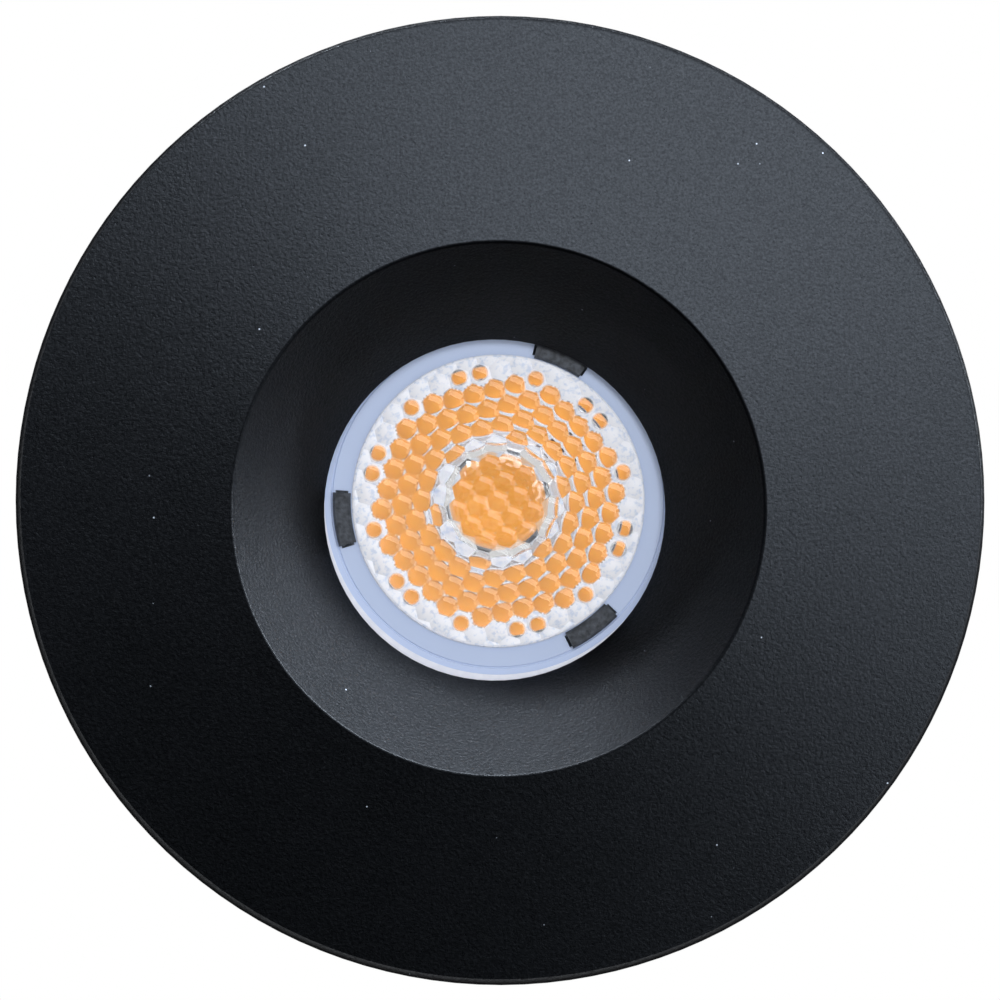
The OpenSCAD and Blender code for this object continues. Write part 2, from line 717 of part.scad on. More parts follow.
// A tube along a path that stays nearly in planes across Y
module wire_tube(path, r, sides) {
    n = len(path);
    function heading(i) = unit(path[min(i + 1, n - 1)] - path[max(i - 1, 0)]);
    rings = [for (i = [0:n - 1])
        let (t = heading(i), out = unit(cross(t, [0, 1, 0])), up = cross(out, t))
        for (k = [0:sides - 1])
            path[i] + r * (out * cos(360 * k / sides) + up * sin(360 * k / sides))];
    body = [for (i = [0:n - 2], k = [0:sides - 1])
        let (a = i * sides + k, b = i * sides + (k + 1) % sides) each
        [[a, b, a + sides], [b, b + sides, a + sides]]];
    ends = [[for (k = [0:sides - 1]) sides - 1 - k],
        [for (k = [0:sides - 1]) (n - 1) * sides + k]];
    polyhedron(points = rings, faces = concat(body, ends));
}

// Least gap of the wire to itself, measured between points over half a curl apart
wire_gaps = [for (i = [0:len(wire_path) - 1])
    for (j = [i + coil_rings / 2:1:len(wire_path) - 1]) norm(wire_path[i] - wire_path[j]) - wire_d];
echo("least gap of the spring's wire to itself, mm", min(wire_gaps));

module clip_spring(s) {
    color([0.6, 0.61, 0.63]) clip_place(s) wire_tube(wire_path, wire_d / 2, wire_sides);
}

bezel();
ceiling_gasket();
lens_seal();
lens();
lens_holder();
led_holder();
led_contacts();
led_holder_screws();
led_board();
led_dam();
led_phosphor();
thermal_pad();
heat_sink();
heat_sink_screws();
cable_grommet();
clip_bracket("a");  // clip_bracket_a
clip_bracket("b");  // clip_bracket_b
bracket_screws();
clip_pin("a");  // clip_pin_a
clip_pin("b");  // clip_pin_b
pin_retaining_rings();
clip_spring("a");  // clip_spring_a
clip_spring("b");  // clip_spring_b
clip_arm("a");  // clip_arm_a
clip_arm("b");  // clip_arm_b
clip_pad("a");  // clip_pad_a
clip_pad("b");  // clip_pad_b
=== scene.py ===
# %% [markdown]
# # A recessed downlight
# The fitting hangs through a round hole in a ceiling. From the room, which is below it, one sees a
# wide black bezel, a conical recess and a clear lens with a honeycomb of small pillows over an
# orange LED. Above the ceiling are a finned heat sink and two sprung clips.
#
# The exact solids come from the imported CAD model, in metres, with +Z up and the light leaving
# along -Z. This script dresses them: it gives each one its finish, and makes the pieces whose look
# depends on a finer shape, such as the lens and the springs.

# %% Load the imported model
import math
import bmesh
import bpy
from mathutils import Euler, Matrix, Vector


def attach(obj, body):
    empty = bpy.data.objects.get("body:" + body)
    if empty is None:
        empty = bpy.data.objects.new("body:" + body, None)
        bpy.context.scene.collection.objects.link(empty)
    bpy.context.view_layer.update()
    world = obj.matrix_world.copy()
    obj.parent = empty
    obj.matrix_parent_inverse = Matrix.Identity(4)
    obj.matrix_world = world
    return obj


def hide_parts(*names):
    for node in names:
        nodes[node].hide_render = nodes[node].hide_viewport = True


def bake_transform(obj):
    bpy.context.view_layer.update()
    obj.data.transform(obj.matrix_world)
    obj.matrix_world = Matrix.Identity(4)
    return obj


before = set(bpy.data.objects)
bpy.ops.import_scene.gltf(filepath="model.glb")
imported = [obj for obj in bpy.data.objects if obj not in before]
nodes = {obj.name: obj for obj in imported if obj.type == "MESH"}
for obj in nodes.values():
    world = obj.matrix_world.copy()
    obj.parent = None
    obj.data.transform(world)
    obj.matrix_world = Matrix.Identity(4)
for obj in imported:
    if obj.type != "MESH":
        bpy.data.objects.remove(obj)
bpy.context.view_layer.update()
MM = 0.001

# %% [markdown]
# ## The camera
# The photograph looks straight into the bezel, so the camera is below the fitting and looks up.
# Its distance follows from the bezel: 90 mm across fills 970 of the picture's 1000 pixels. The
# lens is seen a little left of the bezel's centre and below it, which is what a camera about 2
# degrees off the axis sees, because the lens is 9 mm further away than the bezel's edge.

# %% Camera below the bezel
PHOTO_PX = 1000
BEZEL_PX = 970.2
BEZEL_D = 90 * MM
BEZEL_EDGE_Z = -2.2 * MM
SENSOR = 36
FOCAL = 200
OFF_AXIS = math.radians(1.7)
ABOVE_AXIS = math.radians(0.6)
AIM = Vector((-0.13 * MM, 0, BEZEL_EDGE_Z))
frame_width = BEZEL_D * PHOTO_PX / BEZEL_PX
distance = frame_width * FOCAL / SENSOR

camera_data = bpy.data.cameras.new("camera")
camera_data.lens = FOCAL
camera_data.sensor_width = SENSOR
camera_data.clip_start = 0.01
camera = bpy.data.objects.new("camera", camera_data)
camera.rotation_euler = Euler((math.pi + ABOVE_AXIS, OFF_AXIS, 0))
looking = camera.rotation_euler.to_matrix() @ Vector((0, 0, -1))
camera.location = AIM - looking * distance
bpy.context.scene.collection.objects.link(camera)
bpy.context.scene.camera = camera
bpy.context.scene.view_settings.view_transform = "Standard"
print("camera", round(distance / MM, 1), "mm below the bezel")

# %% [markdown]
# ## Node trees by hand
# Every finish below is a small tree of shader nodes. Two helpers keep the trees readable. The
# function adds a node and links or sets its inputs. The class starts a material with its Principled
# shader and the coordinates that its textures use, and names the few steps that all finishes share.
# The coordinates are the object's own, in metres, so a texture of scale 1 / 0.3 mm has features
# 0.3 mm across, on every piece alike.

# %% Helpers for finishes
def add(tree, kind, inputs=None, **settings):
    node = tree.nodes.new(kind)
    for name, value in settings.items():
        setattr(node, name, value)
    for name, value in (inputs or {}).items():
        if isinstance(value, bpy.types.NodeSocket):
            tree.links.new(value, node.inputs[name])
        else:
            node.inputs[name].default_value = value
    return node


class Finish:
    """A material, its node tree, its Principled shader and its object coordinates."""

    def __init__(self, name, **sockets):
        self.material = bpy.data.materials.new(name)
        self.material.use_nodes = True
        self.tree = self.material.node_tree
        self.shader = self.tree.nodes["Principled BSDF"]
        self.output = self.tree.nodes["Material Output"]
        self.place = self.add("ShaderNodeTexCoord").outputs["Object"]
        self.set(**sockets)

    def add(self, kind, inputs=None, **settings):
        return add(self.tree, kind, inputs, **settings)

    def set(self, **sockets):
        for name, value in sockets.items():
            socket = self.shader.inputs[name.replace("_", " ")]
            if isinstance(value, bpy.types.NodeSocket):
                self.tree.links.new(value, socket)
            else:
                socket.default_value = value

    def noise(self, size, detail, place=None):
        inputs = {"Vector": place or self.place, "Scale": 1 / size, "Detail": detail}
        return self.add("ShaderNodeTexNoise", inputs).outputs["Fac"]

    def stretched(self, factors):
        inputs = {"Vector": self.place, "Scale": factors}
        return self.add("ShaderNodeMapping", inputs).outputs["Vector"]

    def between(self, value, low, high, start=0.3, end=0.7):
        """Value from start to end becomes low to high."""
        inputs = {"Value": value, "From Min": start, "From Max": end, "To Min": low, "To Max": high}
        return self.add("ShaderNodeMapRange", inputs).outputs["Result"]

    def maths(self, operation, first, second):
        return self.add("ShaderNodeMath", {0: first, 1: second}, operation=operation).outputs[0]

    def off_axis(self, axis=(0, 0, 0)):
        """How far a point lies from the upright line through axis."""
        aside = self.add("ShaderNodeVectorMath", {0: self.place, 1: axis}, operation="SUBTRACT")
        inputs = {0: aside.outputs[0], 1: (1, 1, 0)}
        flat = self.add("ShaderNodeVectorMath", inputs, operation="MULTIPLY")
        length = self.add("ShaderNodeVectorMath", {0: flat.outputs[0]}, operation="LENGTH")
        return length.outputs["Value"]

    def shades(self, value, first, second):
        """From first to second as value goes from 0 to 1. Each is a colour or a socket."""
        mix = self.add("ShaderNodeMix", {"Factor": value}, data_type="RGBA")
        for place, shade in ((6, first), (7, second)):
            if isinstance(shade, bpy.types.NodeSocket):
                self.tree.links.new(shade, mix.inputs[place])
            else:
                mix.inputs[place].default_value = (*shade, 1)
        return mix.outputs[2]

    def relief(self, height, depth, below=None):
        """A normal that stands up by depth in metres where height is 1."""
        inputs = {"Height": height, "Distance": depth, "Strength": 1.0}
        if below is not None:
            inputs["Normal"] = below
        return self.add("ShaderNodeBump", inputs).outputs["Normal"]


def dress(finish, *names):
    """Gives CAD nodes a finish."""
    for name in names:
        materials = nodes[name].data.materials
        materials.clear()
        materials.append(finish.material)


print("helpers ready")

# %% [markdown]
# ## Black powder coat
# The bezel is a die casting, sprayed with dry paint powder and baked. The powder melts into a skin
# that is matt and very finely pebbled, a few tenths of a millimetre from hill to hill, and each
# hill catches a point of light. It gathers specks of dust. Two noises make the pebbles, a third
# makes their glints uneven, and the middles of a Voronoi texture's cells, kept only where a cell's
# random number is high, make the specks.

# %% Pebbles and specks of the powder coat
PEBBLE = 0.32 * MM
PEBBLE_H = 0.035 * MM
FINE_PEBBLE = 0.12 * MM
FINE_PEBBLE_H = 0.018 * MM
GLINT = 0.22 * MM
CLOUD = 9 * MM
COAT_BLACKS = ((0.0004, 0.0005, 0.0007), (0.0007, 0.0008, 0.0011))
SPECK_CELL = 2 * MM
SPECK_R = (0.03, 0.05)
SPECK_KEPT = (0.72, 0.74)
DUST = (0.15, 0.17, 0.20)

# The specular tint is painted light: it turns the coat's reflections bluer than the lamps they
# mirror.
powder = Finish("powder_coat", Specular_Tint=(0.80, 0.88, 1.0, 1))
pebbles = powder.noise(PEBBLE, 3)
big_hills = powder.relief(pebbles, PEBBLE_H)
hills = powder.relief(powder.noise(FINE_PEBBLE, 2), FINE_PEBBLE_H, big_hills)
specks = powder.add("ShaderNodeTexVoronoi", {"Vector": powder.place, "Scale": 1 / SPECK_CELL})
near_speck = powder.between(specks.outputs["Distance"], 1, 0, *SPECK_R)
chance = powder.add("ShaderNodeSeparateColor", {"Color": specks.outputs["Color"]}).outputs["Red"]
speck = powder.maths("MULTIPLY", near_speck, powder.between(chance, 0, 1, *SPECK_KEPT))
black = powder.shades(powder.between(powder.noise(CLOUD, 2), 0, 1), *COAT_BLACKS)
powder.set(Base_Color=powder.shades(speck, black, DUST), Normal=hills)
glints = powder.between(powder.noise(GLINT, 3), 0.76, 1.24, 0.35, 0.65)
print("a speck in some of the cells of", SPECK_CELL / MM, "mm")

# %% [markdown]
# The coat isn't equally shiny all over. It is duller in the recess, whose axis lies a little off
# the bezel's, duller still on the rounded lip of its mouth, and dullest on the outer edge and
# behind the flange. Masks made from the place on the bezel tell these apart, and each fades over a
# fraction of a millimetre.

# %% Powder coat on the bezel
RECESS_AXIS = (-0.35 * MM, 0.85 * MM, 0)
LIP_IN = 24.42 * MM
LIP_OUT = 24.75 * MM
LIP_FADE = 0.1 * MM
LIP_DULLNESS = 0.55
EDGE_IN = 44.5 * MM
EDGE_OUT = 44.8 * MM
BEHIND_LOW = 0.2 * MM
BEHIND_HIGH = 0.6 * MM
FLANGE_SHINE = 0.40
RECESS_SHINE = 0.155
DULLEST = 0.12
FLANGE_ROUGH = 0.31
RECESS_ROUGH = 0.38
GRAIN = 0.04

from_recess = powder.off_axis(RECESS_AXIS)
in_recess = powder.between(from_recess, 1, 0, LIP_OUT, LIP_OUT + LIP_FADE)
past_cone = powder.between(from_recess, 0, LIP_DULLNESS, LIP_IN, LIP_IN + LIP_FADE)
on_lip = powder.maths("MULTIPLY", past_cone, in_recess)
on_edge = powder.between(powder.off_axis(), 0, 1, EDGE_IN, EDGE_OUT)
height = powder.add("ShaderNodeSeparateXYZ", {"Vector": powder.place}).outputs["Z"]
above_flange = powder.between(height, 0, 1, BEHIND_LOW, BEHIND_HIGH)
behind = powder.maths("SUBTRACT", above_flange, in_recess)
dull = powder.maths("MAXIMUM", powder.maths("MAXIMUM", on_edge, behind), on_lip)

shine = powder.between(in_recess, FLANGE_SHINE, RECESS_SHINE, 0, 1)
glinting = powder.maths("MULTIPLY", shine, glints)
dulled = powder.maths("MULTIPLY", glinting, powder.between(dull, 1, DULLEST, 0, 1))
even = powder.between(in_recess, FLANGE_ROUGH, RECESS_ROUGH, 0, 1)
rough = powder.maths("ADD", even, powder.between(pebbles, -GRAIN, GRAIN))
powder.set(Specular_IOR_Level=dulled, Roughness=rough)
dress(powder, "bezel")
print("powder coat on the bezel")

# %% [markdown]
# ## The lens
# The optic is one clear moulding. Its flank is curved so that light from the LED that strikes it
# turns parallel to the axis by total reflection, and a small dome over the LED does the same for
# the light in the middle. The front has pillows in a honeycomb that blur the beam. Seen from below,
# each pillow shows the LED once, so the honeycomb looks orange with pale borders.
#
# The CAD solid has few faces on each pillow. A lens bends whatever is seen through it, so its
# facets would show. The same formulas are worked out again here on a fine grid.

# %% Curves of the optic, in millimetres
SOURCE_Z = 20
INDEX = 1.49
CAVITY_R = 4.5
CAVITY_H = 5.8
CROWN_H = 4
FOOT_T = 0.7
FLANK_END = 51.5
LENS_FRONT = 7.6
FLANGE_R = 17.6
FLANGE_T = 1.5
TURN_STEPS = 240


def flank(angle):
    """Where a ray that leaves the LED at this angle above its face meets the flank."""
    rise = math.radians(angle)
    bent = math.asin(math.sin(rise) / INDEX)
    up = CAVITY_R * math.tan(rise)
    path = CAVITY_R + INDEX * FOOT_T - CAVITY_R / math.cos(rise) + INDEX * up
    run = path / (INDEX * (1 - math.sin(bent)))
    return CAVITY_R + run * math.cos(bent), SOURCE_Z - up - run * math.sin(bent)


def crown(radius):
    """The dome over the LED, in the cavity's roof."""
    sag = CAVITY_H - CROWN_H
    ball = (CAVITY_R ** 2 + sag ** 2) / (2 * sag)
    return radius, SOURCE_Z - CROWN_H - ball + math.sqrt(ball ** 2 - radius ** 2)


def circle(radius, z):
    """Points of a horizontal circle, all starting at +X so that circles can be joined."""
    turns = [2 * math.pi * k / TURN_STEPS for k in range(TURN_STEPS)]
    return [(radius * math.cos(a), radius * math.sin(a), z) for a in turns]


print("flank from", [round(v, 2) for v in flank(FLANK_END)], "to", [round(v, 2) for v in flank(0)])

# %% [markdown]
# The pillows lie on a triangular grid. Each is one hexagon cut into 6 triangles, and each triangle
# into rows of small ones, with every point lifted onto the pillow's sphere. Points outside the
# round disc are pulled in onto its edge, which trims the outermost pillows as the mould does.

# %% The honeycomb of pillows
PITCH = 1.98
PILLOW_TURN = 47
PILLOW_R = 2.6
PILLOW_ROWS = 7
GRID_REACH = 9
DISC_R = 13.85
TRIM_R = 13.6
VALLEY_Z = LENS_FRONT - 0.4
DISC_Z = LENS_FRONT - 0.35
corner_r = PITCH / math.sqrt(3)


def turned(angle, length):
    turn = math.radians(angle)
    return Vector((length * math.cos(turn), length * math.sin(turn)))


def pillow_centres():
    steps = range(-GRID_REACH, GRID_REACH + 1)
    row = turned(PILLOW_TURN, PITCH)
    column = turned(PILLOW_TURN + 60, PITCH)
    places = [row * m + column * n for m in steps for n in steps]
    return [p for p in places if p.length < TRIM_R + corner_r]


centres = pillow_centres()
print(len(centres), "pillows")

# %% [markdown]
# The mould of such an optic is polished on the pillows, but no tool can polish the narrow valleys
# between them, so these print as milky lines. They are widest near the rim, where a pillow has only
# a small clear dot. The very last pillows stand outside the flank's reach and are milky all over. A
# number on each point of the mesh says how milky it is, and the material further down reads it.

# %% How milky a pillow is
SMALL_DOTS_FROM = 11.8
NO_DOTS_FROM = 12.2
SMALL_DOT_SHIFT = 0.18
SMALL_DOT_EDGE = (0.66, 0.84)
NARROWING = (9.5, 11.5)
WIDE_CLEAR_R = 1.16
NARROW_CLEAR_R = 1.0
CLEAR_EDGE = (0.12, 0.1)
THICKENING = (9, 12)
THINNEST_MILK = 0.35


def ramp(value, start, end, low, high):
    """Low up to start, high from end on, and a straight line between."""
    share = min(max((value - start) / (end - start), 0), 1)
    return low + (high - low) * share


def etching(place, away, centre):
    """From 0, clear, to 1, milky, for a point so far away from its pillow's centre."""
    reach = centre.length
    if reach > NO_DOTS_FROM:
        return 1
    if reach > SMALL_DOTS_FROM:
        dot = centre.normalized() * (reach + SMALL_DOT_SHIFT)
        return ramp((place - dot).length, *SMALL_DOT_EDGE, 0, 1)
    clear_r = ramp(reach, *NARROWING, WIDE_CLEAR_R, NARROW_CLEAR_R)
    milk = ramp(reach, *THICKENING, THINNEST_MILK, 1)
    return ramp(away, clear_r - CLEAR_EDGE[0], clear_r + CLEAR_EDGE[1], 0, 1) * milk


print("clear dots end", NO_DOTS_FROM, "mm from the axis")

# %% The pillows' mesh
def pillow_vertex(mesh, place, centre):
    """A point of the pillows' skin, trimmed to the disc."""
    if place.length > TRIM_R:
        place = place.normalized() * TRIM_R
    away = min(min((place - c).length for c in centres), corner_r)
    lift = math.sqrt(PILLOW_R ** 2 - away ** 2) - math.sqrt(PILLOW_R ** 2 - corner_r ** 2)
    vertex = mesh.verts.new((place.x, place.y, VALLEY_Z - lift))
    vertex[etched_layer] = etching(place, away, centre)
    return vertex


def add_pillow(mesh, centre):
    """One pillow, without the small triangles that lie wholly outside the disc."""
    for k in range(6):
        first = turned(PILLOW_TURN + 30 + 60 * k, corner_r / PILLOW_ROWS)
        second = turned(PILLOW_TURN + 90 + 60 * k, corner_r / PILLOW_ROWS)
        rows = range(PILLOW_ROWS + 1)
        steps = [(i, j) for i in rows for j in rows if i + j <= PILLOW_ROWS]
        places = {(i, j): centre + first * i + second * j for i, j in steps}
        grid = {step: pillow_vertex(mesh, places[step], centre) for step in steps}
        for i, j in steps:
            upright = ((i, j), (i, j + 1), (i + 1, j))
            hanging = ((i + 1, j), (i, j + 1), (i + 1, j + 1))
            for corners in (upright, hanging):
                if not all(c in grid for c in corners):
                    continue
                if any(places[c].length < TRIM_R for c in corners):
                    mesh.faces.new([grid[c] for c in corners])


optic = bmesh.new()
etched_layer = optic.verts.layers.float.new("etched")
for centre in centres:
    add_pillow(optic, centre)
bmesh.ops.remove_doubles(optic, verts=optic.verts, dist=0.004)
bmesh.ops.delete(optic, geom=[v for v in optic.verts if not v.link_faces], context="VERTS")
print(len(optic.faces), "faces on the pillows")

# %% [markdown]
# The rest of the optic is turned about the axis: rings of points joined by quads. The flange has
# three slots for the holder's hooks, so its two faces are filled between loops instead, which
# leaves the slots open. Two narrow rings are milky as well: the foot over the LED and the dome's
# rim.

# %% The turned body of the optic
def ring(mesh, radius, z):
    return [mesh.verts.new(point) for point in circle(radius, z)]


def join_rings(mesh, rings):
    for lower, upper in zip(rings, rings[1:]):
        for k in range(len(lower)):
            after = (k + 1) % len(lower)
            mesh.faces.new((lower[k], lower[after], upper[after], upper[k]))


def close_ring(mesh, last, z):
    """Triangles from a ring to a point on the axis."""
    tip = mesh.verts.new((0, 0, z))
    for k in range(len(last)):
        mesh.faces.new((last[k], last[(k + 1) % len(last)], tip))


def loop_edges(mesh, loop):
    pairs = zip(loop, loop[1:] + loop[:1])
    return [mesh.edges.get(pair) or mesh.edges.new(pair) for pair in pairs]


def fill_flat(mesh, edges):
    """Fills a flat face between loops of edges, the inner ones being holes."""
    bmesh.ops.triangle_fill(mesh, edges=edges, use_beauty=True)


HOOK_TURNS = (53.5, 173.5, 293.5)
SLOT_HALF = 10.4
SLOT_IN = 14.2
SLOT_OUT = 15.4
SLOT_STEPS = 8
FLANGE_BACK = LENS_FRONT + FLANGE_T
EDGE_BREAK = 0.1
GROOVE_R = 15.62
GROOVE_DEPTH = 0.12


def slot_loop(mesh, turn, z):
    """The outline of one slot: along its inner side, and back along its outer side."""
    spread = [turn + SLOT_HALF * (k / SLOT_STEPS - 1) for k in range(2 * SLOT_STEPS + 1)]
    flat = [turned(a, SLOT_IN) for a in spread] + [turned(a, SLOT_OUT) for a in reversed(spread)]
    return [mesh.verts.new((p.x, p.y, z)) for p in flat]


rim_edges = [e for e in optic.edges if len(e.link_faces) == 1]
grown = bmesh.ops.extrude_edge_only(optic, edges=rim_edges)["geom"]
for vertex in (g for g in grown if isinstance(g, bmesh.types.BMVert)):
    vertex.co.z = DISC_Z
trimmed = [g for g in grown if isinstance(g, bmesh.types.BMEdge)]
disc = [ring(optic, DISC_R - EDGE_BREAK, DISC_Z), ring(optic, DISC_R, DISC_Z + EDGE_BREAK)]
disc.append(ring(optic, DISC_R, LENS_FRONT))
join_rings(optic, disc)
fill_flat(optic, trimmed + loop_edges(optic, disc[0]))

groove = ((0, 0), (0.06, GROOVE_DEPTH), (0.16, GROOVE_DEPTH), (0.22, 0))
outer = [ring(optic, GROOVE_R + out, LENS_FRONT + depth) for out, depth in groove]
outer.append(ring(optic, FLANGE_R - EDGE_BREAK, LENS_FRONT))
outer.append(ring(optic, FLANGE_R, LENS_FRONT + EDGE_BREAK))
outer.append(ring(optic, FLANGE_R, FLANGE_BACK))
join_rings(optic, outer)
front_slots = [slot_loop(optic, turn, LENS_FRONT) for turn in HOOK_TURNS]
back_slots = [slot_loop(optic, turn, FLANGE_BACK) for turn in HOOK_TURNS]
for pair in zip(front_slots, back_slots):
    join_rings(optic, pair)

FLANK_STEPS = 56
CROWN_STEPS = 28
MILKY_LIP = 0.1
body = [ring(optic, flank(FLANK_END)[0], FLANGE_BACK)]
for step in range(FLANK_STEPS + 1):
    body.append(ring(optic, *flank(FLANK_END * (1 - step / FLANK_STEPS))))
for z in (SOURCE_Z, SOURCE_Z - MILKY_LIP, crown(CAVITY_R)[1] + MILKY_LIP):
    body.append(ring(optic, CAVITY_R, z))
foot = body[-4] + body[-3]
for step in range(CROWN_STEPS):
    body.append(ring(optic, *crown(CAVITY_R * (1 - step / CROWN_STEPS))))
crown_rim = body[-CROWN_STEPS] + body[1 - CROWN_STEPS]
for vertex in foot + crown_rim:
    vertex[etched_layer] = 1
join_rings(optic, body)
close_ring(optic, body[-1], crown(0)[1])
front_loops = [disc[-1], outer[0], *front_slots]
back_loops = [body[0], outer[-1], *back_slots]
for loops in (front_loops, back_loops):
    fill_flat(optic, [e for loop in loops for e in loop_edges(optic, loop)])
open_edges = [e for e in optic.edges if len(e.link_faces) != 2]
print(len(optic.faces), "faces,", len(open_edges), "open edges")

# %% [markdown]
# A closed mesh needs its faces to point outwards, or light would take glass for air. Smooth shading
# is right on the curves but not over the creases between pillows, so edges sharper than 25 degrees
# are marked.

# %% Turn a mesh into a piece of the fitting
CREASE = math.radians(25)


def piece(name, mesh, finish, body_name, crease=CREASE):
    """An object from a mesh in millimetres, riding on a body of the CAD model if one is named."""
    bmesh.ops.recalc_face_normals(mesh, faces=mesh.faces)
    data = bpy.data.meshes.new(name)
    mesh.to_mesh(data)
    mesh.free()
    data.transform(Matrix.Scale(MM, 4))
    for face in data.polygons:
        face.use_smooth = True
    data.set_sharp_from_angle(angle=crease)
    data.materials.append(finish.material)
    made = bpy.data.objects.new(name, data)
    bpy.context.scene.collection.objects.link(made)
    if body_name:
        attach(made, body_name)
    return made


print("pieces are made in millimetres and kept in metres")

# %% [markdown]
# ## Clear acrylic
# Acrylic bends light with an index of 1.49. The lamps have to light the LED behind it, but a
# renderer treats clear solids as opaque when it looks from a surface to a lamp. Light Path tells
# such a ray apart, and lets it straight through.
#
# The mould is polished only where the optic works. Its flange and the outer band of the disc are
# etched, so they look milky, as do the valleys and rings that the mesh carries. Milky acrylic still
# lets a little light through, and it scatters the rest: white on the disc. The flange's darker blue
# grey is a painted reflection, a blue sky mirrored in its face, laid over its milk.

# %% What is etched on the lens
RIM_FROM = 13.2 * MM
RIM_TO = 13.5 * MM
UNEVEN = 0.25 * MM
acrylic = Finish("clear_optic", IOR=INDEX)
radius = acrylic.off_axis()
uneven = acrylic.between(acrylic.noise(0.8 * MM, 3), -UNEVEN, UNEVEN)
rim = acrylic.between(acrylic.maths("ADD", radius, uneven), 0, 1, RIM_FROM, RIM_TO)
from_mesh = acrylic.add("ShaderNodeAttribute", attribute_name="etched").outputs["Fac"]
etched = acrylic.maths("MAXIMUM", from_mesh, rim)
print("etched: the rim, and what the mesh says")

# %% Acrylic, and the lens in it
CLEAR = (1.0, 1.0, 1.0)
DISC_MILKS = ((0.95, 0.95, 1.0), (0.70, 0.76, 0.90))
# Painted reflection: the flange's colour is the darker blue grey of a sky mirrored in its face.
FLANGE_MILK_AND_SKY = (0.54, 0.63, 0.84)
DISC_EDGE = 0.05
mottled = acrylic.between(acrylic.noise(0.45 * MM, 3), 0, 1, 0.5, 0.66)
disc_milk = acrylic.shades(mottled, *DISC_MILKS)
off_disc = acrylic.between(radius, 0, 1, (DISC_R - DISC_EDGE) * MM, (DISC_R + DISC_EDGE) * MM)
# On the flange the milk takes that painted reflection's blue grey.
milk = acrylic.shades(off_disc, disc_milk, FLANGE_MILK_AND_SKY)
acrylic.set(Base_Color=acrylic.shades(etched, CLEAR, milk))
acrylic.set(Transmission_Weight=acrylic.between(etched, 1, 0.06, 0, 1))
acrylic.set(Roughness=acrylic.between(etched, 0, 0.35, 0, 1))
ray = acrylic.add("ShaderNodeLightPath")
straight = acrylic.add("ShaderNodeBsdfTransparent", {"Color": (0.97, 0.97, 0.97, 1)})
passing = acrylic.add("ShaderNodeMixShader", {0: ray.outputs["Is Shadow Ray"]})
acrylic.tree.links.new(acrylic.shader.outputs[0], passing.inputs[1])
acrylic.tree.links.new(straight.outputs[0], passing.inputs[2])
acrylic.tree.links.new(passing.outputs[0], acrylic.output.inputs["Surface"])
lens = piece("lens_optic", optic, acrylic, "fitting")
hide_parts("lens")
print("lens", [round(v / MM, 2) for v in lens.dimensions])

# %% [markdown]
# ## Around the LED
# The orange disc is silicone full of phosphor powder, cast inside a white dam on a ceramic board
# that is white with orange stains. The lens shows the dam, the board and the white holder's collar
# as the pale broken ring round the middle. The black ring holds the lens with three hooks.

# %% Finishes inside the lamp
phosphor = Finish("phosphor", Roughness=0.6, Specular_IOR_Level=0.2)
powdery = phosphor.between(phosphor.noise(0.25 * MM, 3), 0, 1)
phosphor.set(Base_Color=phosphor.shades(powdery, (0.98, 0.37, 0.06), (1.0, 0.43, 0.09)))
phosphor.set(Subsurface_Weight=0.15, Subsurface_Radius=(0.8 * MM, 0.4 * MM, 0.1 * MM))
phosphor.set(Normal=phosphor.relief(phosphor.noise(0.5 * MM, 2), 0.01 * MM))
dress(phosphor, "led_phosphor")

dam = Finish("dam_silicone", Roughness=0.35)
soft_white = dam.between(dam.noise(0.6 * MM, 2), 0, 1)
dam.set(Base_Color=dam.shades(soft_white, (0.80, 0.83, 0.92), (0.86, 0.89, 0.97)))
dress(dam, "led_dam")

ceramic = Finish("board_ceramic", Roughness=0.45)
stained = ceramic.between(ceramic.noise(2.4 * MM, 1), 0, 1, 0.47, 0.53)
ceramic.set(Base_Color=ceramic.shades(stained, (0.80, 0.84, 0.92), (0.98, 0.58, 0.28)))
dress(ceramic, "led_board")

white_plastic = Finish("holder_white", Roughness=0.4)
flow = white_plastic.between(white_plastic.noise(3 * MM, 2), 0, 1)
white_plastic.set(Base_Color=white_plastic.shades(flow, (0.80, 0.83, 0.91), (0.86, 0.89, 0.96)))
white_plastic.set(Normal=white_plastic.relief(white_plastic.noise(0.2 * MM, 2), 0.008 * MM))
dress(white_plastic, "led_holder")

HOLDER_GREYS = ((0.03, 0.034, 0.042), (0.075, 0.085, 0.105))
black_plastic = Finish("holder_black", Roughness=0.42)
mottle = black_plastic.between(black_plastic.noise(0.5 * MM, 4), 0, 1, 0.35, 0.65)
black_plastic.set(Base_Color=black_plastic.shades(mottle, *HOLDER_GREYS))
black_plastic.set(Normal=black_plastic.relief(black_plastic.noise(0.3 * MM, 3), 0.03 * MM))
dress(black_plastic, "lens_holder")

silicone = Finish("seal_silicone", Roughness=0.5)
milky = silicone.between(silicone.noise(1 * MM, 2), 0, 1)
silicone.set(Base_Color=silicone.shades(milky, (0.80, 0.82, 0.92), (0.90, 0.91, 1.0)))
dress(silicone, "lens_seal")
print("finishes inside the lamp ready")

# %% [markdown]
# ## Metals
# Each metal has a colour, a roughness that varies in patches, and the marks of how it was made: the
# cast aluminium is pebbled, the sheet steel carries fine lines of rolling and a zinc coat whose
# patches vary, and turned pins have rings round their axis.

# %% Finishes of the metal pieces
aluminium = Finish("sink_aluminium", Metallic=1.0)
patches = aluminium.between(aluminium.noise(7 * MM, 3), 0, 1)
aluminium.set(Base_Color=aluminium.shades(patches, (0.60, 0.61, 0.63), (0.70, 0.71, 0.72)))
aluminium.set(Roughness=aluminium.between(aluminium.noise(2.5 * MM, 4), 0.34, 0.5))
cast_skin = aluminium.relief(aluminium.noise(0.35 * MM, 3), 0.025 * MM)
aluminium.set(Normal=aluminium.relief(aluminium.noise(1.6 * MM, 2), 0.03 * MM, cast_skin))
dress(aluminium, "heat_sink")


